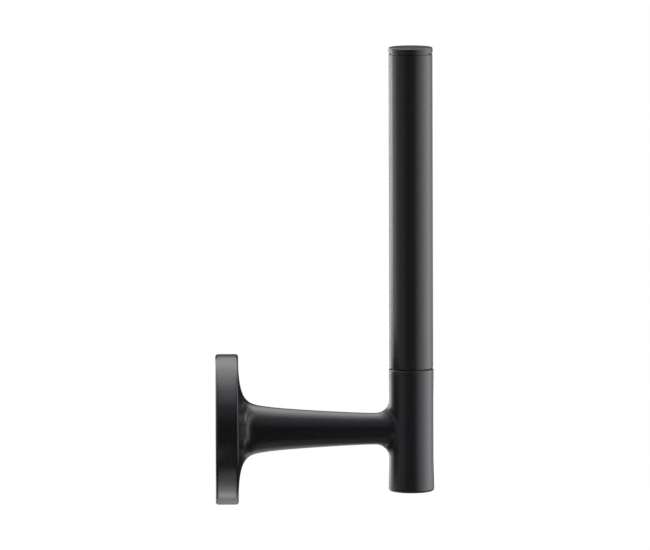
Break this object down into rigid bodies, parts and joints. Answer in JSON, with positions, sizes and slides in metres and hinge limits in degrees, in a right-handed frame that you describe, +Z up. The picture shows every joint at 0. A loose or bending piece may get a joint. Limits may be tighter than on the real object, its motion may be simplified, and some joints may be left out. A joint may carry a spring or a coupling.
{
  "type": "spare toilet roll holder",
  "caption": "Wall-mounted spare toilet roll holder: round flange, trumpet neck with tapering arm, and an upright tube post with a cap.",
  "frame": {"origin": "centre of the flange's back on the wall, on the arm's axis", "axes": "+Z up along the post; the wall is the plane Y = 0 and the arm reaches into the room along -Y; +X to the right seen from the room"},
  "size_m": [0.065, 0.0944, 0.1978],
  "materials": {
    "black_casting": "matt black powder coat on a casting",
    "black_tube": "matt black powder coat on a drawn tube",
    "black_cap": "matt black powder coat on a turned cap",
    "black_nylon": "black nylon",
    "plug_brass": "turned brass",
    "bare_steel": "turned stainless steel",
    "dark_steel": "blackened hardened steel",
    "black_rubber": "black nitrile rubber"
  },
  "bodies": {
    "root": {"holder_body": "black_casting", "post_tube": "black_tube", "end_cap": "black_cap", "seam_ring": "black_nylon", "joint_plug": "plug_brass", "joint_stud": "bare_steel", "cap_o_ring": "black_rubber", "wall_bracket": "bare_steel", "grub_screw": "dark_steel"}
  },
  "joints": []
}
